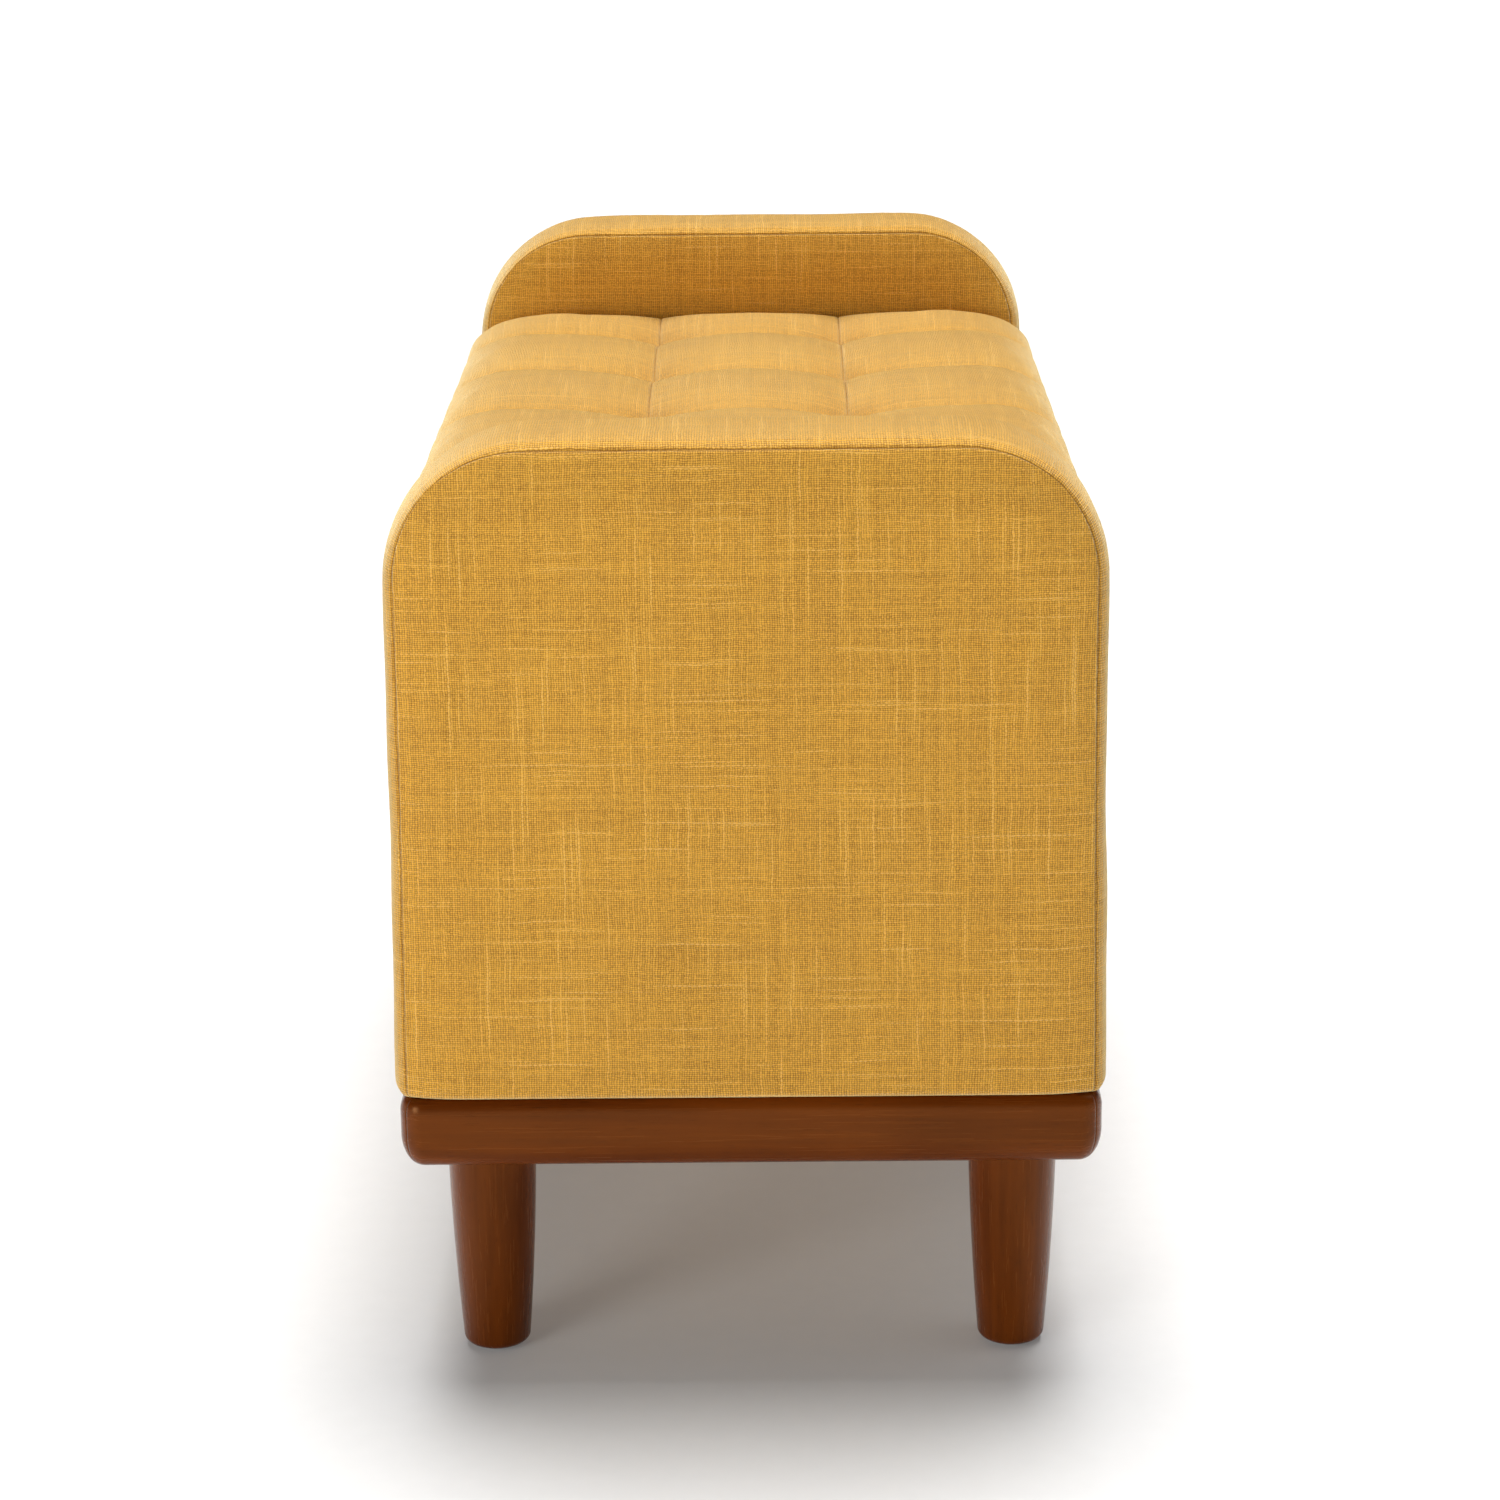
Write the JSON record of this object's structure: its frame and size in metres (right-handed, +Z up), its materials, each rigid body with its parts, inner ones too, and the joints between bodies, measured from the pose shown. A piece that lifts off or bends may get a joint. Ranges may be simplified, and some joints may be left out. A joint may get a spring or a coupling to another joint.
{
  "type": "upholstered storage bench",
  "caption": "Mustard linen-look bench with round-cornered arms, tufted flip-top seat over a storage box, walnut-stained base rail and round tapered legs.",
  "frame": {"origin": "on the floor under the middle of the bench", "axes": "X along the bench's length, the front faces -Y, +Z up"},
  "size_m": [0.898, 0.426, 0.582],
  "materials": {
    "linen": "matte",
    "stained_wood": "satin",
    "plywood": "matte",
    "softwood": "matte",
    "foam": "matte",
    "dark_cloth": "matte",
    "steel": "satin",
    "nylon": "matte",
    "rubber": "matte"
  },
  "bodies": {
    "bench_frame": {"arm_bolt_back_left": "steel", "arm_bolt_back_right": "steel", "arm_bolt_front_left": "steel", "arm_bolt_front_right": "steel", "arm_left_board": "plywood", "arm_left_cover": "linen", "arm_left_foam": "foam", "arm_right_board": "plywood", "arm_right_cover": "linen", "arm_right_foam": "foam", "back_cover": "linen", "back_panel": "plywood", "base_panel": "plywood", "bumper_left": "rubber", "bumper_right": "rubber", "compartment_liner": "dark_cloth", "corner_block_back_left": "softwood", "corner_block_back_right": "softwood", "corner_block_front_left": "softwood", "corner_block_front_right": "softwood", "front_cover": "linen", "front_panel": "plywood", "glide_back_left": "nylon", "glide_back_right": "nylon", "glide_front_left": "nylon", "glide_front_right": "nylon", "hinge_left_fixed_leaf": "steel", "hinge_left_pin": "steel", "hinge_right_fixed_leaf": "steel", "hinge_right_pin": "steel", "left_panel": "plywood", "leg_back_left": "stained_wood", "leg_back_right": "stained_wood", "leg_bolt_back_left": "steel", "leg_bolt_back_right": "steel", "leg_bolt_front_left": "steel", "leg_bolt_front_right": "steel", "leg_front_left": "stained_wood", "leg_front_right": "stained_wood", "rail_back": "stained_wood", "rail_front": "stained_wood", "rail_left": "stained_wood", "rail_right": "stained_wood", "right_panel": "plywood", "stay_left_box_bracket": "steel", "stay_right_box_bracket": "steel"},
    "lid": {"hinge_left_lid_leaf": "steel", "hinge_right_lid_leaf": "steel", "lid_board": "plywood", "lid_cover": "linen", "lid_dust_cloth": "dark_cloth", "lid_foam": "foam", "stay_left_lid_bracket": "steel", "stay_right_lid_bracket": "steel"},
    "stay_left_lower": {"stay_left_lower_link": "steel"},
    "stay_left_upper": {"stay_left_upper_link": "steel"},
    "stay_right_lower": {"stay_right_lower_link": "steel"},
    "stay_right_upper": {"stay_right_upper_link": "steel"}
  },
  "joints": [
    {"name": "lid_hinge", "type": "hinge", "parent": "bench_frame", "child": "lid", "pos_m": [0, 0.208, 0.4468], "axis": [-1, 0, 0], "range_deg": [0, 85]},
    {"name": "stay_left_box_pivot", "type": "hinge", "parent": "bench_frame", "child": "stay_left_lower", "pos_m": [-0.3477, 0.15, 0.2818], "axis": [-1, 0, 0], "range_deg": [0, 85]},
    {"name": "stay_left_knee", "type": "hinge", "parent": "stay_left_lower", "child": "stay_left_upper", "pos_m": [-0.3477, 0, 0.2678], "axis": [1, 0, 0], "range_deg": [0, 85]},
    {"name": "stay_right_box_pivot", "type": "hinge", "parent": "bench_frame", "child": "stay_right_lower", "pos_m": [0.3477, 0.15, 0.2818], "axis": [-1, 0, 0], "range_deg": [0, 85]},
    {"name": "stay_right_knee", "type": "hinge", "parent": "stay_right_lower", "child": "stay_right_upper", "pos_m": [0.3477, 0, 0.2678], "axis": [1, 0, 0], "range_deg": [0, 85]}
  ],
  "couplings": [
    {"joint": "stay_left_box_pivot", "follows": "lid_hinge", "ratio": 1},
    {"joint": "stay_left_knee", "follows": "lid_hinge", "ratio": 1},
    {"joint": "stay_right_box_pivot", "follows": "lid_hinge", "ratio": 1},
    {"joint": "stay_right_knee", "follows": "lid_hinge", "ratio": 1}
  ]
}
